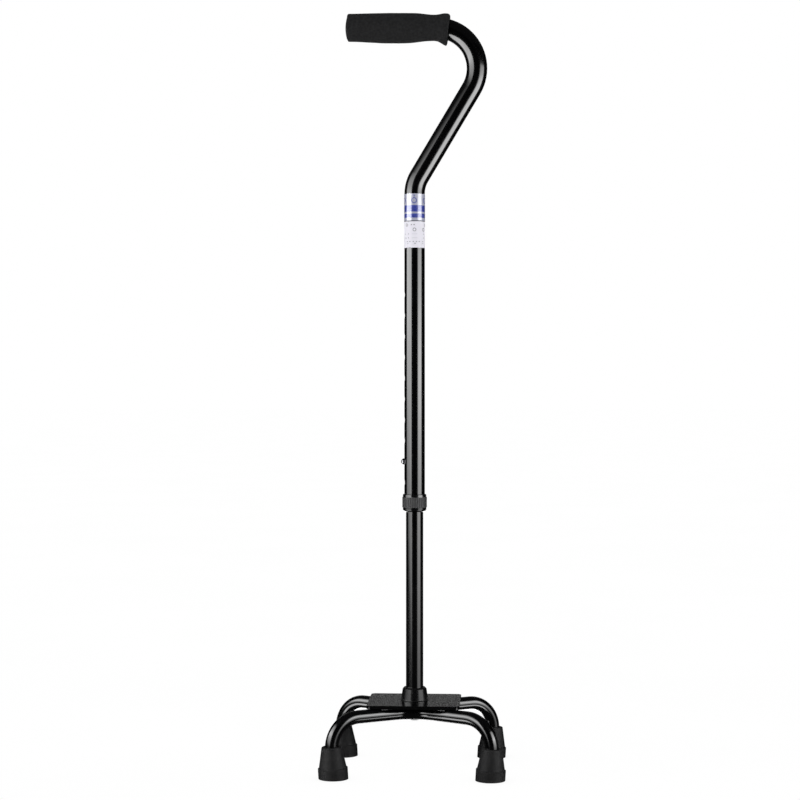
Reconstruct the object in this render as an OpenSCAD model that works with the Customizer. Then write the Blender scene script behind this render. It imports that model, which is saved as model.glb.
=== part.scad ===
// Quad walking cane: offset handle, telescoping stem, four-footed base.
// Origin on the floor under the stem axis. +Z up, handle toward -X, +Y to the rear.

/* [Upper tube] */
// Outside diameter of the upper tube
upper_od = 25; // [24:0.2:26]
// Wall thickness of both stem tubes
tube_wall = 1.2; // [1:0.1:1.5]
// Height of the handle tube's axis
handle_z = 900.6; // [880:0.1:920]
// Free end of the handle tube, measured from the stem axis
handle_end_x = -82; // [-100:1:-70]
// Centreline radius of the bend behind the grip
grip_bend_r = 49.6; // [44:0.2:54]
// Where the bend behind the grip starts, measured from the stem axis
grip_bend_x = 26.4; // [20:0.1:34]
// Slope of the offset run, measured from vertical
offset_angle = 30.853; // [25:0.001:38]
// Centreline radius of the bend above the stem
stem_bend_r = 41; // [35:1:50]
// Lower end of the upper tube
upper_bottom_z = 318.5; // [318:0.5:320]

/* [Height setting] */
// Spacing of the adjustment holes
hole_pitch = 25.4; // [25.4:0.1:25.4]
// Number of adjustment holes
hole_count = 10; // [8:1:10]
// Diameter of an adjustment hole
hole_d = 8.4; // [8.3:0.1:9]
// Height of the lowest adjustment hole
first_hole_z = 347; // [345:1:350]
// Which hole the button stands in, counted up from 0
button_hole = 1; // [0:1:3]
// Diameter of the snap button
button_d = 7.9; // [7:0.1:8]
// How far the button stands out of the upper tube
button_out = 4; // [3:0.5:4.5]

/* [Lower tube] */
// Outside diameter of the lower tube
lower_od = 21; // [20.6:0.2:21.2]
// Upper end of the lower tube
lower_top_z = 480; // [440:1:482]

/* [Clamp collar] */
// Lower end of the clamp nut
nut_bottom_z = 311.6; // [311:0.1:312]
// Height of the clamp nut
nut_h = 21.3; // [21:0.1:23]
// Diameter of the nut's smooth ends
nut_d = 28.5; // [28.4:0.1:29]
// Diameter over the nut's grip ribs
nut_rib_d = 29.9; // [29.6:0.1:31]
// Number of grip ribs
rib_count = 36; // [24:1:44]
// Diameter of the thread between the sleeve and the nut
thread_d = 26.7; // [26.6:0.1:26.8]

/* [Grip] */
// Outside diameter of the foam grip
grip_d = 36.8; // [34:0.2:38]
// Angle that the grip follows the bend
grip_wrap = 16; // [10:1:18]

/* [Labels] */
// Lower edge of the two labels
labels_bottom_z = 632.4; // [600:0.1:640]
// Height of the care label
care_label_h = 32.8; // [20:0.1:40]
// Height of the size label above it
size_label_h = 32.6; // [20:0.1:40]

/* [Base] */
// Width of the base plate
plate_w = 111.5; // [100:0.5:120]
// Depth of the base plate
plate_depth = 93; // [86:1:100]
// Thickness of the base plate
plate_t = 4.2; // [2:0.1:5]
// Corner radius of the base plate
plate_corner_r = 6; // [4:0.5:9]
// Outside diameter of a leg tube
leg_od = 16; // [15:0.2:16.4]
// Wall thickness of a leg tube
leg_wall = 1.4; // [1.2:0.1:2]
// Height of a leg tube's axis
leg_z = 70; // [69:0.5:74]
// Distance from the stem axis to a foot, sideways
foot_x = 92.8; // [88:0.1:105]
// Angle of the legs, seen from above
leg_splay = 31.89; // [30:0.001:36]
// Centreline radius of a leg tube's bow beside the stem
bow_r = 42; // [40:1:50]
// Centreline radius of the bend down to a foot
leg_bend_r = 34; // [30:0.1:40]
// Inward lean of the feet
foot_lean = 3.803; // [0:0.001:4]

/* [Feet] */
// Diameter of a foot's ground band
foot_d = 35.4; // [34:0.2:38]
// Height of a foot's ground band
foot_band_h = 13.6; // [12:0.2:15]
// Height of a foot
foot_h = 38; // [37:0.2:41]

/* [Hidden] */
$fn = 96;
// Clearances of a pushed-on part and of a running fit
tight = 0.02;
slip = 0.05;
big = 400;

// Stem tubes
upper_r = upper_od / 2;
upper_bore_r = upper_r - tube_wall;
lower_r = lower_od / 2;
lower_bore_r = lower_r - tube_wall;
button_z = first_hole_z + button_hole * hole_pitch;

// Upper tube's centreline, from the top of its straight part to the start of the handle
stem_bend_t = stem_bend_r * tan(offset_angle / 2);
grip_bend_end_x = grip_bend_x + grip_bend_r * cos(offset_angle);
grip_bend_end_z = handle_z - grip_bend_r - grip_bend_r * sin(offset_angle);
run_len = hundredth(grip_bend_end_x / sin(offset_angle) - stem_bend_t);
straight_top_z = hundredth(grip_bend_end_z - grip_bend_end_x / tan(offset_angle) - stem_bend_t);
handle_len = grip_bend_x - handle_end_x;

// Clamp collar
thread_r = thread_d / 2;
nut_top_z = nut_bottom_z + nut_h;
nut_lip_t = 1.9;
ring_bottom_z = nut_bottom_z + nut_lip_t;
ring_h = 4.5;
ring_r = 12.6;
seat_z = upper_bottom_z - 2.5;
seat_slope = 0.44;
seat_r = upper_r - 0.2;

// Base: heights from the plate down, and the leg path from the bow to the floor
plate_bottom_z = leg_z + leg_od / 2;
plate_top_z = plate_bottom_z + plate_t;
socket_r = 12.5;
bow_y = socket_r + leg_od / 2;
foot_run = (foot_x - bow_r * sin(leg_splay)) / cos(leg_splay);
down_h = leg_z - leg_bend_r - leg_bend_r * sin(foot_lean);
leg_run = hundredth(foot_run - leg_bend_r * cos(foot_lean) + down_h * tan(foot_lean));
leg_drop = hundredth(down_h / cos(foot_lean));
washer_z = 8;
washer_t = 1.5;

// Stem fixing, from the bolt head up
bolt_d = 6;
bolt_head_z = 58.2;
bolt_head_h = 6;
bolt_head_w = 10;
bolt_len = 25;
lock_washer_z = bolt_head_z + bolt_head_h;
lock_washer_t = 1.5;
flat_washer_z = lock_washer_z + lock_washer_t;
flat_washer_t = 1.6;
socket_z = flat_washer_z + flat_washer_t;
socket_floor_t = 3;
lower_bottom_z = socket_z + socket_floor_t;
cone_top_z = 98.3;
socket_top_z = cone_top_z - 1.5;

function hundredth(x) = round(x * 100) / 100;

module pipe(r_out, r_in, z_from, z_to) {
    translate([0, 0, z_from])
        difference() {
            cylinder(r = r_out, h = z_to - z_from);
            translate([0, 0, -1])
                cylinder(r = r_in, h = z_to - z_from + 2);
        }
}

// A round bar that starts at the origin heading +Z and bends toward +X, cut square at its end
module bend(bend_r, angle, r) {
    spare = 4;
    translate([bend_r, 0, 0])
        difference() {
            rotate([90, 0, 180])
                rotate_extrude(angle = angle + spare)
                    translate([bend_r, 0])
                        circle(r);
            rotate([0, angle, 0])
                translate([-2 * bend_r, -bend_r, 0])
                    cube([2 * bend_r, 2 * bend_r, bend_r]);
        }
}

// Carries children to the end of that bend, heading +Z again
module past_bend(bend_r, angle) {
    translate([bend_r, 0, 0])
        rotate([0, angle, 0])
            translate([-bend_r, 0, 0])
                children();
}

// Carries children to the start of the offset run above the stem
module run_frame() {
    translate([0, 0, straight_top_z])
        past_bend(stem_bend_r, offset_angle)
            children();
}

// Carries children to the start of the bend behind the grip
module grip_bend_frame() {
    run_frame()
        translate([0, 0, run_len])
            mirror([1, 0, 0])
                children();
}

// Carries children to the start of the handle, heading for its free end with +X down
module handle_frame() {
    grip_bend_frame()
        past_bend(grip_bend_r, 90 + offset_angle)
            children();
}

// The upper tube's solid path; over lengthens both ends
module upper_path(r, over = 0) {
    translate([0, 0, upper_bottom_z - over])
        cylinder(r = r, h = straight_top_z - upper_bottom_z + over);
    translate([0, 0, straight_top_z])
        bend(stem_bend_r, offset_angle, r);
    run_frame()
        cylinder(r = r, h = run_len);
    grip_bend_frame()
        bend(grip_bend_r, 90 + offset_angle, r);
    handle_frame()
        cylinder(r = r, h = handle_len + over);
}

// Carries children to the middle of a leg tube's bow, heading for the right or left foot
module bow_frame(right, rear) {
    mirror([right ? 0 : 1, 0, 0])
        mirror([0, rear ? 0 : 1, 0])
            translate([0, bow_y, leg_z])
                rotate([90, 0, 90])
                    children();
}

// Carries children to the start of a leg's straight run, heading outward with +X down
module leg_frame(right, rear) {
    bow_frame(right, rear)
        past_bend(bow_r, leg_splay)
            rotate([0, 0, -90])
                children();
}

// Carries children to the floor under a foot, with +Z up the foot's axis
module foot_frame(right, rear) {
    leg_frame(right, rear)
        translate([0, 0, leg_run])
            past_bend(leg_bend_r, 90 + foot_lean)
                translate([0, 0, leg_drop])
                    rotate([180, 0, 0])
                        children();
}

// One leg tube's solid path, from foot to foot; over lengthens both ends
module leg_path(rear, r, over = 0) {
    for (right = [false, true]) {
        bow_frame(right, rear)
            bend(bow_r, leg_splay, r);
        leg_frame(right, rear) {
            cylinder(r = r, h = leg_run);
            translate([0, 0, leg_run])
                bend(leg_bend_r, 90 + foot_lean, r);
        }
        foot_frame(right, rear)
            translate([0, 0, washer_z + washer_t - over])
                cylinder(r = r, h = leg_drop - washer_z - washer_t + over);
    }
}

module leg_tube(rear) {
    color([0.09, 0.09, 0.1])
        difference() {
            leg_path(rear, leg_od / 2);
            leg_path(rear, leg_od / 2 - leg_wall, 1);
        }
}

module foot(right, rear) {
    color([0.13, 0.13, 0.13])
        difference() {
            foot_frame(right, rear)
                foot_body();
            translate([-big / 2, -big / 2, -20])
                cube([big, big, 20]);
        }
}

// A rubber tip: ground band, ledge, cone, rounded rim, socket for the leg and grooved sole
module foot_body() {
    band_r = foot_d / 2;
    cone_r = 16.4;
    rim_r = 12.1;
    ledge_h = 1;
    rim_round = 1.2;
    mouth_z = leg_drop - 1;
    mouth_gap = 0.6;
    groove_w = 2;
    difference() {
        rotate_extrude()
            union() {
                polygon([
                    [0, -2], [band_r, -2], [band_r, foot_band_h - ledge_h], [cone_r, foot_band_h],
                    [rim_r, foot_h - rim_round], [rim_r - rim_round, foot_h], [0, foot_h],
                ]);
                translate([rim_r - rim_round, foot_h - rim_round])
                    circle(rim_round, $fn = 32);
            }
        translate([0, 0, washer_z])
            cylinder(r = leg_od / 2 + tight, h = foot_h);
        translate([0, 0, mouth_z])
            cylinder(r = leg_od / 2 + mouth_gap, h = foot_h);
        for (groove_r = [5.5, 10])
            translate([0, 0, -3])
                difference() {
                    cylinder(r = groove_r + groove_w, h = 4.5);
                    translate([0, 0, -1])
                        cylinder(r = groove_r, h = 7);
                }
    }
}

module foot_washers() {
    color("silver")
        for (right = [false, true], rear = [false, true])
            foot_frame(right, rear)
                translate([0, 0, washer_z])
                    cylinder(r = leg_od / 2 - 0.2, h = washer_t);
}

module base_plate() {
    in_x = plate_w / 2 - plate_corner_r;
    in_y = plate_depth / 2 - plate_corner_r;
    color([0.1, 0.1, 0.11])
        translate([0, 0, plate_bottom_z])
            linear_extrude(plate_t)
                difference() {
                    union() {
                        square([2 * in_x, plate_depth], center = true);
                        square([plate_w, 2 * in_y], center = true);
                        for (x = [-in_x, in_x], y = [-in_y, in_y])
                            translate([x, y])
                                circle(plate_corner_r);
                    }
                    circle(socket_r + slip);
                }
}

module stem_socket() {
    color([0.1, 0.1, 0.11]) {
        pipe(socket_r, lower_r + slip, lower_bottom_z, socket_top_z);
        pipe(socket_r, bolt_d / 2 + 0.3, socket_z, lower_bottom_z);
    }
}

// Weld beads where the leg tubes cross under the plate's long edges
module weld_beads() {
    bead_r = 2.2;
    bead_l = 16;
    bead_from = 6;
    bead_y = 3.6;
    bead_drop = 0.7;
    color([0.1, 0.1, 0.11])
        for (right = [false, true], rear = [false, true], side = [-1, 1])
            difference() {
                leg_frame(right, rear)
                    translate([bead_drop - leg_od / 2, side * bead_y, bead_from])
                        cylinder(r = bead_r, h = bead_l, $fn = 32);
                leg_frame(right, rear)
                    cylinder(r = leg_od / 2, h = leg_run);
                translate([-big / 2, -big / 2, plate_bottom_z])
                    cube([big, big, 20]);
            }
}

module cone_collar() {
    lip_r = 16.9;
    lip_t = 1;
    lip_edge = 0.5;
    neck_r = 14.5;
    neck_edge = 2;
    color([0.12, 0.12, 0.12])
        difference() {
            rotate_extrude()
                polygon([
                    [0, plate_top_z], [lip_r, plate_top_z], [lip_r, plate_top_z + lip_t],
                    [lip_r - lip_edge, plate_top_z + lip_t + lip_edge],
                    [neck_r, cone_top_z - neck_edge],
                    [neck_r - neck_edge, cone_top_z], [0, cone_top_z],
                ]);
            translate([0, 0, plate_top_z - 1])
                cylinder(r = socket_r + slip, h = socket_top_z - plate_top_z + 1);
            cylinder(r = lower_r + slip, h = big);
        }
}

module stem_insert() {
    insert_l = 26;
    color("gainsboro")
        pipe(lower_bore_r - slip, bolt_d / 2 + slip, lower_bottom_z, lower_bottom_z + insert_l);
}

module stem_bolt() {
    color("silver") {
        translate([0, 0, bolt_head_z])
            cylinder(r = bolt_head_w / sqrt(3), h = bolt_head_h, $fn = 6);
        translate([0, 0, bolt_head_z + bolt_head_h])
            cylinder(r = bolt_d / 2, h = bolt_len);
    }
}

module flat_washer() {
    washer_r = 6.25;
    color("silver")
        pipe(washer_r, bolt_d / 2 + 0.2, flat_washer_z, flat_washer_z + flat_washer_t);
}

module lock_washer() {
    washer_r = 5.7;
    gap = 0.8;
    color("silver")
        difference() {
            pipe(washer_r, bolt_d / 2 + 0.15, lock_washer_z, lock_washer_z + lock_washer_t);
            translate([2, -gap / 2, lock_washer_z - 1])
                cube([washer_r, gap, lock_washer_t + 2]);
        }
}

module lower_tube() {
    color([0.09, 0.09, 0.1])
        difference() {
            pipe(lower_r, lower_bore_r, lower_bottom_z, lower_top_z);
            translate([-lower_od, 0, button_z])
                rotate([0, 90, 0])
                    cylinder(r = button_d / 2 + slip, h = lower_od);
        }
}

// Plastic bush over the lower tube's top, which runs in the upper tube's bore
module guide_bush() {
    bush_l = 26;
    cap_t = 1.6;
    lip = 0.6;
    color("whitesmoke") {
        pipe(upper_bore_r - slip, lower_r, lower_top_z - bush_l, lower_top_z);
        pipe(upper_bore_r - slip, lower_bore_r - lip, lower_top_z, lower_top_z + cap_t);
    }
}

// Snap button: domed pin, retaining flange and a rivet tail through the leaf spring
module push_button() {
    pin_r = button_d / 2;
    tip_x = upper_r + button_out;
    dome_h = 2.4;
    edge_w = 0.3;
    flange_x = 7.7;
    flange_t = 1;
    flange_r = 5;
    tail_r = 1.5;
    tail_l = 1.2;
    color("gainsboro")
        translate([0, 0, button_z])
            rotate([0, -90, 0]) {
                translate([0, 0, flange_x])
                    cylinder(r = pin_r, h = tip_x - dome_h - flange_x);
                translate([0, 0, tip_x - dome_h])
                    dome(pin_r - edge_w, dome_h);
                translate([0, 0, flange_x - flange_t])
                    cylinder(r = flange_r, h = flange_t);
                translate([0, 0, flange_x - flange_t - tail_l])
                    cylinder(r = tail_r, h = tail_l);
            }
}

// A spherical cap of base radius r and height h, standing on z = 0
module dome(r, h) {
    ball_r = (r * r + h * h) / (2 * h);
    rotate_extrude()
        intersection() {
            translate([0, h - ball_r])
                circle(ball_r);
            square(2 * ball_r);
        }
}

// V-shaped leaf spring inside the lower tube; its front leg carries the button
module button_spring() {
    t = 0.6;
    width = 6;
    front_x = -6.4;
    back_x = 8.2;
    fold_r = 1.5;
    fold_z = button_z - 40;
    rivet_r = 1.5;
    color("silver")
        difference() {
            translate([0, width / 2, 0])
                rotate([90, 0, 0])
                    linear_extrude(width) {
                        strip([front_x, button_z + 7], [front_x, button_z - 8], t);
                        strip([front_x, button_z - 8], [-fold_r, fold_z], t);
                        strip([fold_r, fold_z], [back_x, button_z + 2], t);
                        translate([0, fold_z])
                            difference() {
                                circle(fold_r + t / 2, $fn = 48);
                                circle(fold_r - t / 2, $fn = 48);
                                translate([-5, 0])
                                    square([10, 5]);
                            }
                    }
            translate([front_x - 2, 0, button_z])
                rotate([0, 90, 0])
                    cylinder(r = rivet_r + slip, h = 4);
        }
}

// A flat strip of thickness t with round ends, between two points in the plane
module strip(from, to, t) {
    d = to - from;
    translate(from)
        rotate(atan2(d[1], d[0]))
            translate([0, -t / 2])
                square([norm(d), t]);
    for (p = [from, to])
        translate(p)
            circle(t / 2, $fn = 32);
}

module upper_tube() {
    color([0.09, 0.09, 0.1])
        difference() {
            upper_path(upper_r);
            upper_path(upper_bore_r, 2);
            for (k = [0 : hole_count - 1])
                translate([-upper_od, 0, first_hole_z + k * hole_pitch])
                    rotate([0, 90, 0])
                        cylinder(r = hole_d / 2, h = upper_od);
        }
}

// Foam sleeve, straight along the handle and then a little way round the bend
module foam_grip() {
    end_cut = 2;
    grip_r = grip_d / 2;
    bore_r = upper_r + tight;
    color([0.16, 0.16, 0.16])
        handle_frame() {
            rotate_extrude()
                polygon([
                    [bore_r, 0], [grip_r, 0], [grip_r, handle_len - end_cut],
                    [grip_r - end_cut, handle_len], [bore_r, handle_len],
                ]);
            mirror([0, 0, 1])
                difference() {
                    bend(grip_bend_r, grip_wrap, grip_r);
                    bend(grip_bend_r, grip_wrap + 2, bore_r);
                }
        }
}

// Domed plug in the handle tube's free end
module handle_plug() {
    cap_r = upper_r + 0.4;
    cap_t = 0.6;
    shank_l = 14;
    color([0.12, 0.12, 0.12])
        handle_frame()
            translate([0, 0, handle_len]) {
                cylinder(r = cap_r, h = cap_t);
                translate([0, 0, cap_t])
                    dome(cap_r, 1.8);
                translate([0, 0, -shank_l])
                    cylinder(r = upper_bore_r - slip, h = shank_l);
            }
}

// A thin film wrapped once round the upper tube
module label(z_from, label_h) {
    film_t = 0.15;
    color("white")
        pipe(upper_r + film_t, upper_r + tight, z_from, z_from + label_h);
}

module size_label() {
    seam_h = 0.2;
    label(labels_bottom_z + care_label_h + seam_h, size_label_h);
}

module care_label() {
    label(labels_bottom_z, care_label_h);
}

// Threaded sleeve on the upper tube's lower end; the tube stands on its lip
module lock_sleeve() {
    sleeve_top_z = nut_top_z - 1.6;
    seat_h = upper_bottom_z - seat_z;
    color([0.2, 0.2, 0.2]) {
        pipe(thread_r, upper_r, seat_z, sleeve_top_z);
        translate([0, 0, seat_z])
            difference() {
                cylinder(r = upper_r, h = seat_h);
                cylinder(r1 = seat_r, r2 = seat_r - seat_slope * seat_h, h = seat_h);
            }
    }
}

// Split ring that the nut wedges into the sleeve's seat, to grip the lower tube
module clamp_ring() {
    top_z = ring_bottom_z + ring_h;
    step_z = seat_z - 0.3;
    cone_r = seat_r - slip;
    split_w = 2;
    color("whitesmoke")
        difference() {
            rotate_extrude()
                polygon([
                    [lower_r + slip, ring_bottom_z], [ring_r, ring_bottom_z],
                    [ring_r, step_z], [cone_r, step_z],
                    [cone_r, seat_z], [cone_r - seat_slope * (top_z - seat_z), top_z],
                    [lower_r + slip, top_z],
                ]);
            translate([0, -split_w / 2, ring_bottom_z - 1])
                cube([upper_od, split_w, ring_h + 2]);
        }
}

// Clamp nut: smooth rings above and below a ribbed band, rounded at the bottom
module collar_nut() {
    nut_r = nut_d / 2;
    round_r = 3.2;
    edge = 0.6;
    rib_w = 1.5;
    rib_root = 0.2;
    band_from = nut_bottom_z + 5.3;
    band_to = nut_top_z - 3.6;
    thread_from = seat_z - 1.7;
    color([0.15, 0.15, 0.15])
        difference() {
            union() {
                translate([0, 0, nut_bottom_z + round_r])
                    cylinder(r = nut_r, h = nut_h - round_r - edge);
                translate([0, 0, nut_top_z - edge])
                    cylinder(r1 = nut_r, r2 = nut_r - edge, h = edge);
                translate([0, 0, nut_bottom_z + round_r])
                    rotate_extrude()
                        translate([nut_r - round_r, 0])
                            circle(round_r, $fn = 64);
                translate([0, 0, nut_bottom_z])
                    cylinder(r = nut_r - round_r, h = 2 * round_r);
                translate([0, 0, band_from])
                    linear_extrude(band_to - band_from)
                        ribbed_ring(nut_r + rib_root, rib_w);
            }
            translate([0, 0, nut_bottom_z - 1])
                cylinder(r = lower_r + 0.3, h = nut_h);
            translate([0, 0, ring_bottom_z])
                cylinder(r = ring_r + 0.15, h = nut_h);
            translate([0, 0, thread_from])
                cylinder(r = thread_r + slip, h = nut_h);
        }
}

// The nut's outline with its grip ribs
module ribbed_ring(root_r, rib_w) {
    circle(root_r);
    for (k = [0 : rib_count - 1])
        rotate(k * 360 / rib_count)
            translate([0, -rib_w / 2])
                square([nut_rib_d / 2, rib_w]);
}

base_plate();
leg_tube(false);  // front_leg_tube
leg_tube(true);  // rear_leg_tube
stem_socket();
weld_beads();
foot(false, false);  // foot_front_left
foot(true, false);  // foot_front_right
foot(false, true);  // foot_rear_left
foot(true, true);  // foot_rear_right
foot_washers();
cone_collar();
stem_insert();
stem_bolt();
flat_washer();
lock_washer();
lower_tube();
guide_bush();
button_spring();
push_button();
upper_tube();
foam_grip();
handle_plug();
size_label();
care_label();
lock_sleeve();
clamp_ring();
collar_nut();
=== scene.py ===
import math

import bmesh
import bpy
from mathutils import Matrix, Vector, noise

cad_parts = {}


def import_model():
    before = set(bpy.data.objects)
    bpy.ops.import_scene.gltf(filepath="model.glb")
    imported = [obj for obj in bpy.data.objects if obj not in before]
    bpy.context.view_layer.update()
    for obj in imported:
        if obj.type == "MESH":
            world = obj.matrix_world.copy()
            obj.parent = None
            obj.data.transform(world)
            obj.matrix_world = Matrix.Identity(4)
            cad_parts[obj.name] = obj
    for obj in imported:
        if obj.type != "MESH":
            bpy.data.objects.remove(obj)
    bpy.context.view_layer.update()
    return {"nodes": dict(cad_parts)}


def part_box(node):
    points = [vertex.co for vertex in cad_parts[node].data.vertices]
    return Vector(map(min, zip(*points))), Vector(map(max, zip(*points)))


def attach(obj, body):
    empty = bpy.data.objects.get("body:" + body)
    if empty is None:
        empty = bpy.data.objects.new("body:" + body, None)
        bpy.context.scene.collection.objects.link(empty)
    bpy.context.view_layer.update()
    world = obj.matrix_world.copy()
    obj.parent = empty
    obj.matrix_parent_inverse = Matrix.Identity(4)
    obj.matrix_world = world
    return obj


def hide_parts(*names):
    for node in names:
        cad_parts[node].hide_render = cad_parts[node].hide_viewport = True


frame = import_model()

MM = 0.001
SHARP_ANGLE = math.radians(40)
NODES = frame["nodes"]


# ---------------------------------------------------------------- mesh helpers

def new_piece(name, bm, body, material):
    """A finished mesh piece that rides on one body."""
    bmesh.ops.recalc_face_normals(bm, faces=bm.faces)
    mesh = bpy.data.meshes.new(name)
    bm.to_mesh(mesh)
    bm.free()
    mesh.shade_smooth()
    mesh.set_sharp_from_angle(angle=SHARP_ANGLE)
    piece = bpy.data.objects.new(name, mesh)
    bpy.context.scene.collection.objects.link(piece)
    mesh.materials.append(material)
    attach(piece, body)
    return piece


def smoothstep(low, high, x):
    """Rises smoothly from 0 at low to 1 at high."""
    t = min(1.0, max(0.0, (x - low) / (high - low)))
    return t * t * (3 - 2 * t)


def curve_through(points, x):
    """Height at x of a smooth curve through points (x, height), flat beyond its ends."""
    if x <= points[0][0]:
        return points[0][1]
    for (x0, y0), (x1, y1) in zip(points, points[1:]):
        if x <= x1:
            return y0 + (y1 - y0) * smoothstep(x0, x1, x)
    return points[-1][1]


# ------------------------------------------------------------ material helpers

class Shader:
    """A node material under construction, around one Principled shader."""

    def __init__(self, name, **inputs):
        """Named inputs set the Principled shader's own, with _ for a space."""
        self.material = bpy.data.materials.new(name)
        self.material.use_nodes = True
        self.tree = self.material.node_tree
        self.surface = self.tree.nodes["Principled BSDF"]
        self.coords = self.add("ShaderNodeTexCoord").outputs["Object"]
        for key, value in inputs.items():
            self.set(key.replace("_", " "), value)

    def add(self, kind, inputs=None, **settings):
        """A new node with its inputs fed and its settings made."""
        node = self.tree.nodes.new(kind)
        for key, value in settings.items():
            setattr(node, key, value)
        for key, value in (inputs or {}).items():
            self.feed(node.inputs[key], value)
        return node

    def feed(self, socket, value):
        """Links another node's output to socket, or sets its value."""
        if isinstance(value, bpy.types.NodeSocket):
            self.tree.links.new(value, socket)
        elif socket.type == "RGBA" and len(value) == 3:
            socket.default_value = (*value, 1)
        else:
            socket.default_value = value

    def set(self, name, value):
        self.feed(self.surface.inputs[name], value)

    def math(self, operation, a, b=0.0):
        return self.add("ShaderNodeMath", {0: a, 1: b}, operation=operation).outputs[0]

    def noise(self, size, detail=3.0, stretch=(1, 1, 1)):
        """Grey noise with features of about size metres."""
        place = self.add("ShaderNodeMapping", {"Vector": self.coords, "Scale": stretch})
        grain = {"Vector": place.outputs[0], "Scale": 1 / size, "Detail": detail}
        return self.add("ShaderNodeTexNoise", grain).outputs["Fac"]

    def cells(self, size):
        """Distance to the nearest cell centre, for cells of about size metres."""
        grain = {"Vector": self.coords, "Scale": 1 / size}
        return self.add("ShaderNodeTexVoronoi", grain).outputs["Distance"]

    def ramp(self, value, low, high, to_low=0.0, to_high=1.0):
        """Smooth change from to_low to to_high as value goes from low to high."""
        limits = {"Value": value, "From Min": low, "From Max": high, "To Min": to_low, "To Max": to_high}
        return self.add("ShaderNodeMapRange", limits, interpolation_type="SMOOTHSTEP").outputs[0]

    def mix(self, factor, a, b):
        """Colour a where factor is 0, colour b where it is 1."""
        node = self.add("ShaderNodeMix", data_type="RGBA")
        for index, value in ((0, factor), (6, a), (7, b)):
            self.feed(node.inputs[index], value)
        return node.outputs[2]

    def height(self):
        """The z coordinate, in metres."""
        return self.add("ShaderNodeSeparateXYZ", {0: self.coords}).outputs["Z"]

    def relief(self, value, depth, edge=0.0):
        """Bump from value, depth metres deep, over edges rounded by edge metres."""
        inputs = {"Height": value, "Distance": depth}
        if edge:
            rounded = self.add("ShaderNodeBevel", {"Radius": edge}, samples=6)
            inputs["Normal"] = rounded.outputs[0]
        self.set("Normal", self.add("ShaderNodeBump", inputs).outputs[0])


# ------------------------------------------------------------------- materials

def black_coat(name, edge=0.0):
    """Gloss black paint with a faint orange peel, dust and rubbed patches."""
    s = Shader(name, Coat_Weight=0.5, Coat_Roughness=0.06)
    rubbed = s.ramp(s.noise(18 * MM, 5), 0.45, 0.75)
    specks = s.ramp(s.cells(2.6 * MM), 0.0, 0.05, 1, 0)
    dusty = s.math("MULTIPLY", specks, 0.03)
    s.set("Roughness", s.math("ADD", s.ramp(rubbed, 0, 1, 0.15, 0.19), dusty))
    s.set("Base Color", s.mix(specks, (0.001, 0.001, 0.0012), (0.0022, 0.0022, 0.0022)))
    s.relief(s.noise(5 * MM, 2), 0.006 * MM, edge)
    return s.material


def welded_coat():
    """The same paint over the ripples and spatter of a weld."""
    s = Shader("welded_coat", Coat_Weight=0.5, Coat_Roughness=0.1)
    s.set("Base Color", (0.003, 0.003, 0.0034))
    s.set("Roughness", s.ramp(s.noise(2 * MM), 0.3, 0.7, 0.2, 0.34))
    ripples = s.noise(1.1 * MM, 2, (1.6, 0.5, 0.5))
    spatter = s.math("MULTIPLY", s.cells(1.5 * MM), 0.4)
    s.relief(s.math("ADD", ripples, spatter), 0.5 * MM)
    return s.material


def foam():
    """Closed-cell foam: dark, matt, with fine cells and a soft mottle."""
    s = Shader("foam", Specular_IOR_Level=0.06, Sheen_Weight=0.02, Sheen_Roughness=0.5)
    cells = s.cells(0.55 * MM)
    mottle = s.noise(3 * MM, 6)
    pale_cells = s.math("MULTIPLY", s.ramp(cells, 0.1, 0.6), 0.3)
    tone = s.math("ADD", s.ramp(mottle, 0.3, 0.7, 0.0, 0.7), pale_cells)
    s.set("Base Color", s.mix(tone, (0.0062, 0.0062, 0.0066), (0.0175, 0.0175, 0.018)))
    s.set("Roughness", s.ramp(mottle, 0.3, 0.7, 0.86, 0.97))
    pits = s.math("ADD", s.math("MULTIPLY", cells, 0.7), s.noise(0.9 * MM, 4))
    s.relief(pits, 0.16 * MM)
    return s.material


def tip_rubber():
    """Matt moulded rubber, dusty and scuffed near the ground."""
    s = Shader("tip_rubber", Specular_IOR_Level=0.2)
    near_ground = s.ramp(s.height(), 0, 7 * MM, 1, 0)
    scuff = s.math("MULTIPLY", near_ground, s.ramp(s.noise(3 * MM, 6), 0.42, 0.6))
    bloom = s.ramp(s.noise(7 * MM, 4), 0.35, 0.7, 0, 0.5)
    dust = s.math("MAXIMUM", scuff, bloom)
    s.set("Base Color", s.mix(dust, (0.0052, 0.0052, 0.0056), (0.0125, 0.0122, 0.012)))
    s.set("Roughness", s.ramp(s.noise(1.5 * MM), 0.3, 0.7, 0.5, 0.68))
    grain = s.math("ADD", s.noise(0.5 * MM, 3), s.math("MULTIPLY", s.noise(4 * MM), 0.8))
    s.relief(grain, 0.07 * MM, edge=0.5 * MM)
    return s.material


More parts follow.
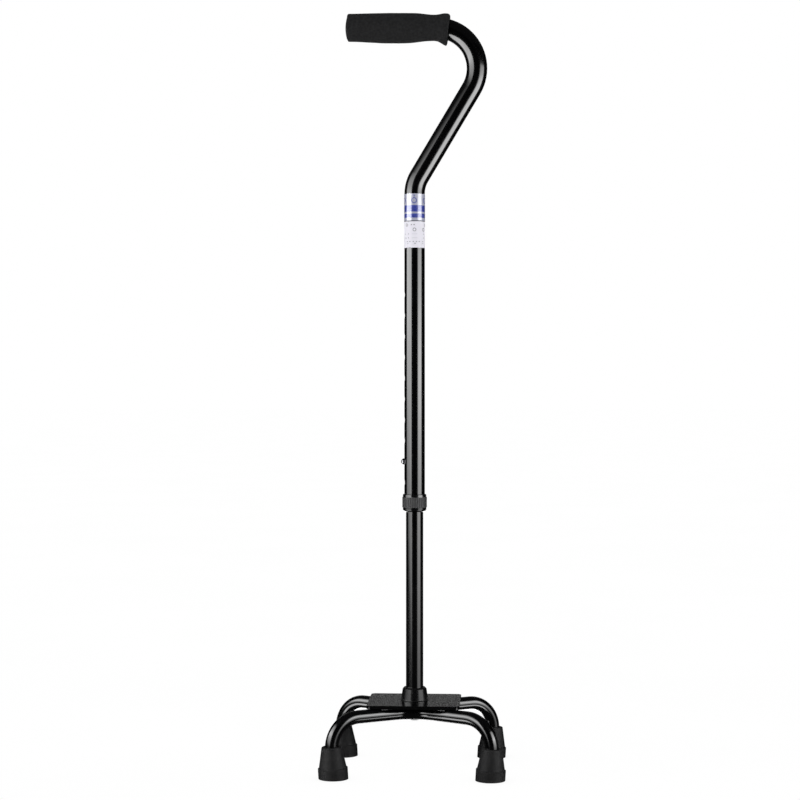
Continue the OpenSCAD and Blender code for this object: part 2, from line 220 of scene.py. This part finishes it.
def gloss_plastic(seat_z, neck_z):
    """Polished black moulding: no shine at its seat, a painted shade where it meets the plate; bright on its
    lip; extra shine on the top edge of its neck, a painted highlight.
    """
    s = Shader("gloss_plastic", Coat_Weight=0.06, Coat_Roughness=0.1)
    z = s.height()
    # No shine in the lowest 0.2-0.6 mm: painted shade along the seat on the plate
    clear_of_seat_shade = s.ramp(z, seat_z + 0.2 * MM, seat_z + 0.6 * MM)
    lip = s.ramp(z, seat_z + 1.4 * MM, seat_z + 1.9 * MM, 0.7, 0.26)
    # Extra shine on the neck's top edge: a painted highlight
    neck = s.ramp(z, neck_z - 2.2 * MM, neck_z - 1.6 * MM, 0.0, 0.6)
    s.set("Specular IOR Level", s.math("MULTIPLY", clear_of_seat_shade, s.math("MAXIMUM", lip, neck)))
    marks = s.ramp(s.noise(1.2 * MM, 5, (1, 1, 0.08)), 0.5, 0.72)
    s.set("Base Color", s.mix(marks, (0.003, 0.003, 0.0034), (0.007, 0.007, 0.007)))
    s.set("Roughness", s.ramp(marks, 0, 1, 0.24, 0.34))
    s.relief(s.noise(2.5 * MM, 2), 0.01 * MM, edge=0.4 * MM)
    return s.material


def nut_plastic(band_low, band_high):
    """The clamp nut: a grained grey band between two polished rings."""
    s = Shader("nut_plastic")
    z = s.height()
    soft = 0.2 * MM
    above_low = s.ramp(z, band_low - soft, band_low)
    below_high = s.ramp(z, band_high, band_high + soft, 1, 0)
    band = s.math("MULTIPLY", above_low, below_high)
    mottle = s.noise(1.6 * MM, 4)
    grey = s.mix(mottle, (0.025, 0.025, 0.026), (0.032, 0.032, 0.033))
    ring_shine = s.ramp(z, band_low, band_high, 0.3, 1.0)
    s.set("Specular IOR Level", s.ramp(band, 0, 1, ring_shine, 0.4))
    s.set("Base Color", s.mix(band, (0.0025, 0.0025, 0.003), grey))
    s.set("Roughness", s.ramp(band, 0, 1, 0.17, 0.62))
    grain = s.math("ADD", s.noise(0.35 * MM, 3), 0.2)
    s.relief(s.math("MULTIPLY", grain, s.ramp(band, 0, 1, 0.05, 1)), 0.06 * MM, edge=0.25 * MM)
    return s.material


def black_plastic():
    """Satin black moulding of the handle's end plug and the hidden threaded sleeve."""
    s = Shader("black_plastic", Specular_IOR_Level=0.25)
    s.set("Base Color", s.mix(s.noise(3 * MM, 4), (0.009, 0.009, 0.0095), (0.016, 0.016, 0.0165)))
    s.set("Roughness", s.ramp(s.noise(0.8 * MM), 0.3, 0.7, 0.34, 0.48))
    s.relief(s.noise(0.4 * MM), 0.03 * MM, edge=0.4 * MM)
    return s.material


def white_plastic():
    """Natural white plastic of the hidden bush and clamp ring."""
    s = Shader("white_plastic", Subsurface_Weight=0.15, Subsurface_Scale=2 * MM)
    s.set("Base Color", s.mix(s.noise(4 * MM, 4), (0.72, 0.71, 0.67), (0.80, 0.79, 0.76)))
    s.set("Roughness", s.ramp(s.noise(1 * MM), 0.3, 0.7, 0.35, 0.5))
    s.relief(s.noise(0.6 * MM), 0.02 * MM, edge=0.3 * MM)
    return s.material


def metal(name, tint, low, high):
    """Bare metal with fine turning marks across z and a little tarnish."""
    s = Shader(name, Metallic=1.0)
    tarnish = s.noise(3 * MM, 5)
    s.set("Base Color", s.mix(s.ramp(tarnish, 0.4, 0.75), tint, [c * 0.72 for c in tint]))
    marks = s.noise(0.5 * MM, 4, (0.3, 0.3, 4))
    s.set("Roughness", s.ramp(marks, 0.3, 0.7, low, high))
    s.relief(marks, 0.01 * MM, edge=0.3 * MM)
    return s.material


def label_film():
    """Pearly film under a hard gloss: pale where a softbox falls on it, lilac-grey between."""
    s = Shader("label_film", Specular_IOR_Level=1.0, Coat_Weight=1.0, Coat_Roughness=0.12)
    s.set("Base Color", s.mix(s.noise(6 * MM, 3), (0.42, 0.43, 0.53), (0.49, 0.50, 0.61)))
    s.set("Roughness", s.ramp(s.noise(2 * MM), 0.3, 0.7, 0.2, 0.28))
    s.relief(s.noise(3 * MM, 3), 0.01 * MM)
    return s.material


def label_paper():
    """Coated lilac-white paper with a faint fibre."""
    s = Shader("label_paper", Specular_IOR_Level=0.15)
    s.set("Base Color", s.mix(s.noise(0.7 * MM, 5), (0.83, 0.81, 0.90), (0.89, 0.88, 0.94)))
    s.set("Roughness", s.ramp(s.noise(0.5 * MM), 0.3, 0.7, 0.55, 0.7))
    s.relief(s.noise(0.4 * MM, 4), 0.01 * MM)
    return s.material


def ink(name, colour, faded, gloss):
    """Printed ink that breaks up slightly, with gloss from 0 for matt to 1 for the upper label's film."""
    s = Shader(name, Specular_IOR_Level=gloss, Coat_Weight=gloss, Coat_Roughness=0.12)
    s.set("Base Color", s.mix(s.ramp(s.noise(0.9 * MM, 5), 0.35, 0.75), colour, faded))
    s.set("Roughness", s.ramp(s.noise(1.5 * MM), 0.3, 0.7, 0.2, 0.3))
    s.relief(s.noise(0.5 * MM), 0.003 * MM)
    return s.material


# --------------------------------------------------------------- the foam grip

HANDLE_BEND_R = 49.6 * MM
HANDLE_BEND_X = 26.4 * MM
# How far the sleeve follows the bend, and the radius of its bore, in mm
GRIP_ON_BEND = 15.4
GRIP_BORE = 12.52
# Millimetres from the sleeve's free end, then the foam's height above and below the tube's axis
GRIP_TOP = [(0, 18.0), (50, 18.45), (78, 18.3), (109, 15.9), (122, 18.6)]
GRIP_UNDER = [(0, 15.7), (55, 18.15), (70, 18.2), (104, 15.6), (120, 19.6)]
# The end by the bend is cut nearly upright: its rings lean back by this share of their height
GRIP_LEAN = 0.19
GRIP_LEAN_SPAN = (96, 122)
# Rounding of the sleeve's free end and of its end by the bend, in mm
GRIP_END_ROUND = 2.2
GRIP_INNER_ROUND = 2.6
# Rings along the sleeve's outside, and points round each ring
GRIP_RINGS = 150
GRIP_AROUND = 144
# Uneven swelling of the foam and its grain: (features per metre, octaves, depth in mm)
GRIP_SWELL = ((90, 3, 0.14), (700, 2, 0.035))


def handle_point(s, axis_z, end_x):
    """Point and tangent of the handle tube's axis, s metres from its free end."""
    straight = HANDLE_BEND_X - end_x
    if s <= straight:
        return Vector((end_x + s, 0, axis_z)), Vector((1, 0, 0))
    turn = (s - straight) / HANDLE_BEND_R
    centre = Vector((HANDLE_BEND_X, 0, axis_z - HANDLE_BEND_R))
    point = centre + HANDLE_BEND_R * Vector((math.sin(turn), 0, math.cos(turn)))
    return point, Vector((math.cos(turn), 0, -math.sin(turn)))


def grip_profile(length):
    """The sleeve's rings, once round its section: (mm from the free end, kind of ring, inset in mm)."""
    steps = 10
    quarter = [math.pi / 2 * i / steps for i in range(steps + 1)]
    loop = [(0.0, "bore", 0.0), (0.0, "face", 0.0)]
    for a in reversed(quarter):
        loop.append((GRIP_END_ROUND * (1 - math.sin(a)), "outside", GRIP_END_ROUND * (1 - math.cos(a))))
    run = length - GRIP_END_ROUND - GRIP_INNER_ROUND
    loop += [(GRIP_END_ROUND + run * i / GRIP_RINGS, "outside", 0.0) for i in range(1, GRIP_RINGS)]
    last = length - GRIP_INNER_ROUND
    for a in quarter:
        loop.append((last + GRIP_INNER_ROUND * math.sin(a), "outside", GRIP_INNER_ROUND * (1 - math.cos(a))))
    loop += [(length, "face", 0.0), (length, "bore", 0.0)]
    bore_rings = 12
    loop += [(length * (1 - i / bore_rings), "bore", 0.0) for i in range(1, bore_rings)]
    return loop


def grip_radius(kind, inset, full):
    """Distance of a ring's point from the tube's axis, in mm, where the foam's full outside is full away."""
    if kind == "bore":
        return GRIP_BORE
    if kind == "face":
        return (GRIP_BORE + full - GRIP_END_ROUND) / 2
    return full - inset


def foam_swell(point):
    """How far the foam stands out at point, in mm."""
    swell = 0.0
    for features, octaves, depth in GRIP_SWELL:
        swell += noise.fractal(point * features, 1.0, 2.0, octaves) * depth
    return swell


def grip_ring(bm, s, kind, inset, centre, along):
    """One ring of the sleeve round centre, where the tube heads along; s is mm from the free end."""
    side = Vector((0, 1, 0))
    up = side.cross(along) * -1
    top = curve_through(GRIP_TOP, s)
    under = curve_through(GRIP_UNDER, s)
    lean = GRIP_LEAN * smoothstep(*GRIP_LEAN_SPAN, s)
    ring = []
    for k in range(GRIP_AROUND):
        angle = 2 * math.pi * k / GRIP_AROUND
        full = under + (top - under) * (0.5 + 0.5 * math.cos(angle))
        r = grip_radius(kind, inset, full)
        point = centre + (up * math.cos(angle) + side * math.sin(angle)) * r * MM
        point -= along * (lean * r * math.cos(angle) * MM)
        if kind == "outside":
            point += (point - centre).normalized() * foam_swell(point) * MM
        ring.append(bm.verts.new(point))
    return ring


def join_rings(bm, rings):
    """Faces between neighbouring rings, and between the last ring and the first."""
    around = len(rings[0])
    for a, b in zip(rings, rings[1:] + rings[:1]):
        for k in range(around):
            n = (k + 1) % around
            bm.faces.new((a[k], a[n], b[n], b[k]))


def foam_grip(material):
    """The foam sleeve over the handle and the start of its bend."""
    end_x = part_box("foam_grip")[0].x
    plug_low, plug_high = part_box("handle_plug")
    axis_z = (plug_low.z + plug_high.z) / 2
    length = (HANDLE_BEND_X - end_x) / MM + GRIP_ON_BEND
    bm = bmesh.new()
    rings = []
    for s, kind, inset in grip_profile(length):
        rings.append(grip_ring(bm, s, kind, inset, *handle_point(s * MM, axis_z, end_x)))
    join_rings(bm, rings)
    piece = new_piece("foam_sleeve", bm, "upper", material)
    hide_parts("foam_grip")


# ------------------------------------------------------------- the label print

# The ink's distance from its film, its thickness, and about how wide each flat step of a bar is
PRINT_LIFT = 0.01 * MM
PRINT_THICK = 0.03 * MM
BAR_STEP = 1.2 * MM


def wrap(radius, angle, z):
    """Point on the tube, angle radians round from the side that faces the viewer."""
    return Vector((radius * math.sin(angle), -radius * math.cos(angle), z))


def print_patch(bm, radius, outline):
    """A thin closed patch of ink over the tube; outline is (angle, z) points in order."""
    inner = [bm.verts.new(wrap(radius + PRINT_LIFT, a, z)) for a, z in outline]
    outer = [bm.verts.new(wrap(radius + PRINT_LIFT + PRINT_THICK, a, z)) for a, z in outline]
    bm.faces.new(outer)
    bm.faces.new(list(reversed(inner)))
    for i in range(len(outline)):
        n = (i + 1) % len(outline)
        bm.faces.new((inner[i], inner[n], outer[n], outer[i]))


def print_bar(bm, radius, angle, z, width, height):
    """An upright-edged bar centred at angle and z, width measured round the tube."""
    steps = max(1, round(width / BAR_STEP))
    low = z - height / 2
    high = z + height / 2
    for i in range(steps):
        a0 = angle + width / radius * (i / steps - 0.5)
        a1 = angle + width / radius * ((i + 1) / steps - 0.5)
        print_patch(bm, radius, [(a0, low), (a1, low), (a1, high), (a0, high)])


def print_ring(bm, radius, angle, z, size, line):
    """A drawn ring of radius size round angle and z, line wide."""
    steps = 16
    for i in range(steps):
        t0 = 2 * math.pi * i / steps
        t1 = 2 * math.pi * (i + 1) / steps
        corners = [(size, t0), (size, t1), (size - line, t1), (size - line, t0)]
        print_patch(bm, radius, [(angle + r / radius * math.cos(t), z + r * math.sin(t)) for r, t in corners])


def full_band(bm, radius, z_low, z_high):
    """A closed band of ink right round the tube."""
    steps = 96
    angles = [2 * math.pi * k / steps for k in range(steps)]
    inner = radius + PRINT_LIFT
    outer = inner + PRINT_THICK
    rings = []
    for r, z in ((inner, z_low), (outer, z_low), (outer, z_high), (inner, z_high)):
        rings.append([bm.verts.new(wrap(r, a, z)) for a in angles])
    join_rings(bm, rings)


# Lower and upper edge of the upper label's bands, in mm below its top
SIZE_BANDS = ((22.0, 14.0), (29.2, 24.2))
# Its rings as (drop below its top, radius, line) and the ticks over them as (drop, width, height), in mm
SIZE_RING = (8.2, 3.6, 1.1)
SIZE_TICK = (2.6, 1.0, 2.2)
SIZE_REPEATS = 5


def size_print(material):
    """Two blue bands round the upper label, under a row of plain rings."""
    label_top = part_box("size_label")[1]
    bm = bmesh.new()
    for lower, upper in SIZE_BANDS:
        full_band(bm, label_top.x, label_top.z - lower * MM, label_top.z - upper * MM)
    ring_drop, ring_size, ring_line = [value * MM for value in SIZE_RING]
    tick_drop, tick_width, tick_height = [value * MM for value in SIZE_TICK]
    for i in range(SIZE_REPEATS):
        angle = 2 * math.pi * i / SIZE_REPEATS
        print_ring(bm, label_top.x, angle, label_top.z - ring_drop, ring_size, ring_line)
        print_bar(bm, label_top.x, angle, label_top.z - tick_drop, tick_width, tick_height)
    new_piece("size_print", bm, "upper", material)


# One panel of the lower label: (mm below its top, ring radius or bar width in mm, degrees round the tube)
CARE_RINGS = ((5.2, 1.8, (-45, -100)), (10.9, 2.1, (2, 61)))
CARE_MARKS = (
    (5.0, 1.4, (-15, 0)),
    (16.2, 0.9, (-57, -33, 61)),
    (20.9, 0.9, (-57, -51, -33, 61)),
    (25.3, 1.2, (-42, -24, -5, 13, 29, 54)),
    (27.5, 0.9, (-38, 2, 8, 53)),
)
CARE_LINES = ((16.2, 6.6, (3,)), (20.9, 6.6, (3,)))
# Heights of its top band and of its marks, and the width of its rings' line and its hairlines, in mm
CARE_EDGE = 0.8
CARE_MARK_HEIGHT = 0.8
CARE_LINE = 0.5


def care_print(material, pale_material):
    """Plain rings, marks and hairlines on the lower label, the same panel twice round."""
    label_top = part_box("care_label")[1]
    marks = bmesh.new()
    lines = bmesh.new()
    full_band(marks, label_top.x, label_top.z - CARE_EDGE * MM, label_top.z)
    for half_turn in (0, 180):
        for drop, size, steps in CARE_RINGS:
            for step in steps:
                angle = math.radians(half_turn + step)
                print_ring(marks, label_top.x, angle, label_top.z - drop * MM, size * MM, CARE_LINE * MM)
        for bm, rows, height in ((marks, CARE_MARKS, CARE_MARK_HEIGHT), (lines, CARE_LINES, CARE_LINE)):
            for drop, width, steps in rows:
                for step in steps:
                    angle = math.radians(half_turn + step)
                    print_bar(bm, label_top.x, angle, label_top.z - drop * MM, width * MM, height * MM)
    new_piece("care_print", marks, "upper", material)
    new_piece("care_lines", lines, "upper", pale_material)


# -------------------------------------------------------------- CAD node looks

# The nut's ribbed band: its distance from the nut's lower and upper end
BAND_FROM = 5.3 * MM
BAND_TO = 3.6 * MM


def dress(material, *names):
    """Gives CAD nodes their material."""
    for name in names:
        mesh = NODES[name].data
        mesh.materials.clear()
        mesh.materials.append(material)


def dress_frame():
    """Materials of every CAD node that isn't replaced."""
    dress(black_coat("black_coat"), "upper_tube", "lower_tube", "front_leg_tube", "rear_leg_tube")
    dress(black_coat("plate_coat", 0.35 * MM), "base_plate", "stem_socket")
    dress(welded_coat(), "weld_beads")
    dress(tip_rubber(), "foot_front_left", "foot_front_right", "foot_rear_left", "foot_rear_right")
    cone_low, cone_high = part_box("cone_collar")
    dress(gloss_plastic(cone_low.z, cone_high.z), "cone_collar")
    nut_low, nut_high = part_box("collar_nut")
    dress(nut_plastic(nut_low.z + BAND_FROM, nut_high.z - BAND_TO), "collar_nut")
    dress(black_plastic(), "handle_plug", "lock_sleeve")
    dress(white_plastic(), "guide_bush", "clamp_ring")
    dress(metal("bright_steel", (0.62, 0.62, 0.62), 0.2, 0.34), "button_spring", "foot_washers")
    dress(metal("zinc_steel", (0.66, 0.67, 0.70), 0.22, 0.36), "stem_bolt", "flat_washer", "lock_washer")
    dress(metal("chrome", (0.22, 0.22, 0.23), 0.08, 0.16), "push_button")
    dress(metal("alloy", (0.74, 0.75, 0.76), 0.28, 0.42), "stem_insert")
    dress(label_film(), "size_label")
    dress(label_paper(), "care_label")


# ------------------------------------------------------------ studio and camera

# The viewer stands VIEW_DISTANCE in front of the cane, turned to its right, and looks level
VIEW_YAW = math.radians(3.26)
VIEW_DISTANCE = 2.322
VIEW_SIDE = 0.0178
EYE_HEIGHT = 0.471
LENS = 85.75
LENS_DROP = -0.0241

# Distances of the cards from the stem, and the softboxes' height, in metres
CARD_REACH = 1.64
REAR_REACH = 1.8
FILL_REACH = 1.7
FILL_REAR_REACH = 2.2
CARD_BOTTOM = -1.25
CARD_TOP = 1.85
# A softbox's handle part and its foot part fade in for parts of the cane between these heights
HANDLE_VIEW = (0.66, 0.76)
FOOT_VIEW = (0.25, 0.4)
# Heights of the straight stem, and how steep a ray off it is in a view from well above
STEM_SPAN = (0.16, 0.6)
STEM_SOFT = 0.05
STEEP = (0.2, 0.25)
# Where along a slanted card its foot keeps its height, and the heights over which the slant dies out
SLANT_PIVOT = 0.3
SLANT_FADE = (0.35, 0.65)
# Brightness of the cards by height: (metres, brightness)
ABOVE_PROFILE = [(-1.25, 0), (-1.1, 5), (0.3, 6), (0.6, 0)]
FOOT_PROFILE = [(-1.25, 0), (-1.15, 5), (-0.45, 6), (-0.3, 0)]
LEFT_HANDLE = [(-1.25, 0), (-1.15, 5), (-0.6, 6.4), (-0.1, 7), (0.3, 6.6), (0.7, 5.4), (0.9, 0)]
LEFT_STEM = [
    (-0.25, 0), (-0.13, 0.07), (-0.07, 0.2), (0.0, 0.9), (0.06, 1.7), (0.18, 2.9), (0.25, 3.3), (0.35, 4.6),
    (0.5, 5.7), (0.66, 7.1), (0.85, 6.2), (1.05, 4.2), (1.29, 3.3), (1.5, 1.9), (1.63, 0.8), (1.8, 0.2),
    (1.85, 0),
]
RIGHT_HANDLE = [(-1.25, 0), (-1.15, 6), (-0.1, 7.6), (0.4, 7.8), (0.7, 7), (0.9, 0)]
RIGHT_STEM = [
    (-0.3, 0), (-0.13, 1.65), (-0.06, 1.8), (0.0, 2.4), (0.12, 3.4), (0.25, 4.4), (0.37, 6.1), (0.5, 8.0),
    (0.66, 6.1), (0.85, 5.0), (1.0, 4.2), (1.1, 3.4), (1.18, 0.4), (1.25, 0),
]
# Brightness of the grey cards, and of the room
SHEEN = 0.35
ROOM_GLOW = 0.025


def toward(azimuth):
    """Level direction from the stem, azimuth degrees to the right of the viewer's side."""
    turn = math.radians(azimuth) + VIEW_YAW
    return Vector((math.sin(turn), -math.cos(turn), 0))


class Glow(Shader):
    """The glow of a studio card: across runs from 0 to 1 over its width, level is the height on it."""

    def __init__(self, name):
        super().__init__(name)
        self.tree.nodes.remove(self.surface)
        uv = self.add("ShaderNodeTexCoord").outputs["UV"]
        self.across = self.add("ShaderNodeSeparateXYZ", {0: uv}).outputs["X"]
        self.level = self.height()

    def profile(self, points, slant=0.0):
        """Brightness by height through points of (metres, brightness); slant lifts the foot's far end."""
        lift = self.math("MULTIPLY", self.math("SUBTRACT", self.across, SLANT_PIVOT), slant)
        lift = self.math("MULTIPLY", lift, self.ramp(self.level, *SLANT_FADE, 1, 0))
        level = self.math("SUBTRACT", self.level, lift)
        low, high = points[0][0], points[-1][0]
        top = max(value for _, value in points)
        node = self.add("ShaderNodeFloatCurve")
        curve = node.mapping.curves[0]
        while len(curve.points) < len(points):
            curve.points.new(0.5, 0.5)
        for knot, (metres, value) in zip(curve.points, points):
            knot.location = ((metres - low) / (high - low), value / top)
        node.mapping.update()
        share = self.add("ShaderNodeMapRange", {"Value": level, "From Min": low, "From Max": high})
        self.feed(node.inputs["Value"], share.outputs[0])
        return self.math("MULTIPLY", node.outputs[0], top)

    def sight(self, reach):
        """Slope of the ray that meets the card, and its height where it left the cane, reach metres away."""
        toward_eye = self.add("ShaderNodeNewGeometry").outputs["Incoming"]
        rise = self.add("ShaderNodeSeparateXYZ", {0: toward_eye}).outputs["Z"]
        level_part = self.math("SQRT", self.math("SUBTRACT", 1.0, self.math("MULTIPLY", rise, rise)))
        slope = self.math("DIVIDE", rise, self.math("MAXIMUM", level_part, 0.01))
        return slope, self.math("ADD", self.level, self.math("MULTIPLY", slope, reach))

    def seen_from(self, low, high, reach):
        """Rises from 0 to 1 for rays from parts of the cane between heights low and high."""
        return self.ramp(self.sight(reach)[1], low, high)

    def seen_from_above(self, reach):
        """1 for rays that views from well above send off the straight stem, else 0."""
        slope, source = self.sight(reach)
        low, high = STEM_SPAN
        over_low = self.ramp(source, low, low + STEM_SOFT)
        under_high = self.ramp(source, high, high + STEM_SOFT, 1, 0)
        stem = self.math("MULTIPLY", over_low, under_high)
        return self.math("MULTIPLY", stem, self.ramp(slope, *STEEP))

    def finish(self, strength, near_edge, far_edge):
        """The glow's material: strength fades out over these shares of the card's width at its sides."""
        near = self.ramp(self.across, 0, near_edge)
        far = self.ramp(self.across, 1 - far_edge, 1, 1, 0)
        total = self.math("MULTIPLY", strength, self.math("MULTIPLY", near, far))
        light = self.add("ShaderNodeEmission", {"Strength": total})
        self.tree.links.new(light.outputs[0], self.tree.nodes["Material Output"].inputs["Surface"])
        return self.material


def card(name, corners, material, reflected):
    """A glowing card, only for reflections or only for diffuse light; corners go round from its near foot."""
    mesh = bpy.data.meshes.new(name)
    mesh.from_pydata(corners, [], [(0, 1, 2, 3)])
    layer = mesh.uv_layers.new()
    for loop, uv in zip(layer.data, ((0, 0), (1, 0), (1, 1), (0, 1))):
        loop.uv = uv
    mesh.materials.append(material)
    piece = bpy.data.objects.new(name, mesh)
    bpy.context.scene.collection.objects.link(piece)
    piece.visible_camera = False
    piece.visible_shadow = False
    piece.visible_glossy = reflected
    piece.visible_diffuse = not reflected
    return piece


def link_plate(piece, state):
    """Keeps a card's reflection off the base plate (EXCLUDE), or on it alone (INCLUDE)."""
    receivers = bpy.data.collections.new(f"{piece.name}_receivers")
    receivers.objects.link(NODES["base_plate"])
    receivers.collection_objects[0].light_linking.link_state = state
    piece.light_linking.receiver_collection = receivers


def upright(near, far, distance, low, high):
    """Corners of an upright card between two azimuths, near one first."""
    a = toward(near) * distance
    b = toward(far) * distance
    foot = Vector((0, 0, low))
    head = Vector((0, 0, high))
    return [a + foot, b + foot, b + head, a + head]


def softbox(name, near, far, edges, slant, stem_profile, handle_profile):
    """A tall softbox, whose parts below the stem's profile show only from some heights and views."""
    glow = Glow(f"glow_{name}")
    low_part = glow.math("MULTIPLY", glow.profile(handle_profile), glow.seen_from(*HANDLE_VIEW, CARD_REACH))
    foot_part = glow.math("MULTIPLY", glow.profile(FOOT_PROFILE), glow.seen_from(*FOOT_VIEW, CARD_REACH))
    above_part = glow.math("MULTIPLY", glow.profile(ABOVE_PROFILE), glow.seen_from_above(CARD_REACH))
    total = glow.profile(stem_profile, slant)
    for part in (low_part, foot_part, above_part):
        total = glow.math("MAXIMUM", total, part)
    corners = upright(near, far, CARD_REACH, CARD_BOTTOM, CARD_TOP)
    link_plate(card(f"softbox_{name}", corners, glow.finish(total, *edges), True), "EXCLUDE")


def plain_card(name, corners, strength, reflected, edge=0.15):
    """A card of one brightness with soft sides."""
    return card(name, corners, Glow(f"glow_{name}").finish(strength, edge, edge), reflected)


def rear_card():
    """Puts a stripe on the straight stem in views from behind and above."""
    glow = Glow("glow_rear")
    strength = glow.math("MULTIPLY", glow.profile(ABOVE_PROFILE), glow.seen_from_above(REAR_REACH))
    card("rear", upright(150, 210, REAR_REACH, CARD_BOTTOM, 0.6), glow.finish(strength, 0.2, 0.2), True)


def plate_sheen():
    """Cards for the plate alone, which carry the backdrop's grey sheen on round to the other views."""
    width = 60
    for side in range(5):
        near = 210 + width * side
        corners = upright(near, near + width, REAR_REACH, 0.05, 1.5)
        link_plate(plain_card(f"plate_sheen_{side}", corners, SHEEN, True, 0.02), "INCLUDE")


def lights():
    """Softboxes and grey cards that are only reflected, and four fills that only give diffuse light."""
    softbox("left", -33, -102, (0.1, 0.2), 0.33, LEFT_STEM, LEFT_HANDLE)
    softbox("right", 30, 87, (0.26, 0.2), 0.0, RIGHT_STEM, RIGHT_HANDLE)
    plain_card("backdrop", upright(150, 210, REAR_REACH, 0.05, 0.9), SHEEN, True)
    rear_card()
    plate_sheen()
    fill_top = 1.9
    plain_card("fill_left", upright(-25, -100, FILL_REACH, 0.0, fill_top), 2.2, False)
    plain_card("fill_right", upright(25, 95, FILL_REACH, 0.0, fill_top), 2.2, False)
    plain_card("fill_rear", upright(140, 220, FILL_REAR_REACH, 0.0, fill_top), 1.4, False)
    span = 0.9
    middle = Vector((0, -0.4, 2.1))
    corners = [middle + span * Vector((x, y, 0)) for x, y in ((-1, -1), (1, -1), (1, 1), (-1, 1))]
    plain_card("fill_top", corners, 0.7, False)


def world():
    """White to the camera, a dim even grey to the cane."""
    scene_world = bpy.data.worlds.new("studio")
    bpy.context.scene.world = scene_world
    scene_world.use_nodes = True
    tree = scene_world.node_tree
    rays = tree.nodes.new("ShaderNodeLightPath")
    level = tree.nodes.new("ShaderNodeMath")
    level.operation = "MAXIMUM"
    level.inputs[1].default_value = ROOM_GLOW
    tree.links.new(rays.outputs["Is Camera Ray"], level.inputs[0])
    background = tree.nodes["Background"]
    background.inputs["Color"].default_value = (1, 1, 1, 1)
    tree.links.new(level.outputs[0], background.inputs["Strength"])


def floor():
    """A pale floor that melts into the background, with a faint shade under the tips."""
    half = 30.0
    corners = [(x * half, y * half, 0) for x, y in ((-1, -1), (1, -1), (1, 1), (-1, 1))]
    mesh = bpy.data.meshes.new("floor")
    mesh.from_pydata(corners, [], [(0, 1, 2, 3)])
    piece = bpy.data.objects.new("floor", mesh)
    bpy.context.scene.collection.objects.link(piece)
    piece.location.z = -0.05 * MM
    piece.visible_glossy = False
    piece.visible_shadow = False
    s = Shader("pale_floor", Roughness=0.9, Specular_IOR_Level=0.0)
    s.set("Base Color", (0.5, 0.5, 0.5))
    open_sky = s.add("ShaderNodeAmbientOcclusion", {"Distance": 0.05}, samples=8).outputs["AO"]
    contact_shade = s.ramp(open_sky, 0, 1, 0.86, 1.0)
    level = s.math("MULTIPLY", contact_shade, s.ramp(s.noise(0.4, 4), 0.3, 0.7, 0.995, 1.0))
    pale = s.add("ShaderNodeEmission", {"Strength": level})
    rays = s.add("ShaderNodeLightPath").outputs["Is Camera Ray"]
    seen = s.add("ShaderNodeMixShader", {0: rays, 1: s.surface.outputs[0], 2: pale.outputs[0]})
    s.tree.links.new(seen.outputs[0], s.tree.nodes["Material Output"].inputs["Surface"])
    mesh.materials.append(s.material)


def camera():
    """The viewer's camera: level, so that upright lines stay upright, with its picture shifted down."""
    data = bpy.data.cameras.new("camera")
    data.lens = LENS
    data.sensor_width = 36
    data.shift_y = LENS_DROP
    data.clip_end = 100
    view = bpy.data.objects.new("camera", data)
    bpy.context.scene.collection.objects.link(view)
    right = Vector((math.cos(VIEW_YAW), math.sin(VIEW_YAW), 0))
    view.location = toward(0) * VIEW_DISTANCE - right * VIEW_SIDE + Vector((0, 0, EYE_HEIGHT))
    view.rotation_euler = (math.pi / 2, 0, VIEW_YAW)
    bpy.context.scene.camera = view


# ------------------------------------------------------------------------ build

blue_ink = ink("blue_ink", (0.03, 0.045, 0.30), (0.05, 0.07, 0.38), 1.0)
grey_ink = ink("grey_ink", (0.02, 0.02, 0.035), (0.07, 0.07, 0.09), 0.0)
pale_ink = ink("pale_ink", (0.6, 0.6, 0.66), (0.68, 0.68, 0.74), 0.0)
foam_grip(foam())
size_print(blue_ink)
care_print(grey_ink, pale_ink)
dress_frame()
world()
floor()
lights()
camera()
bpy.context.scene.view_settings.view_transform = "Standard"
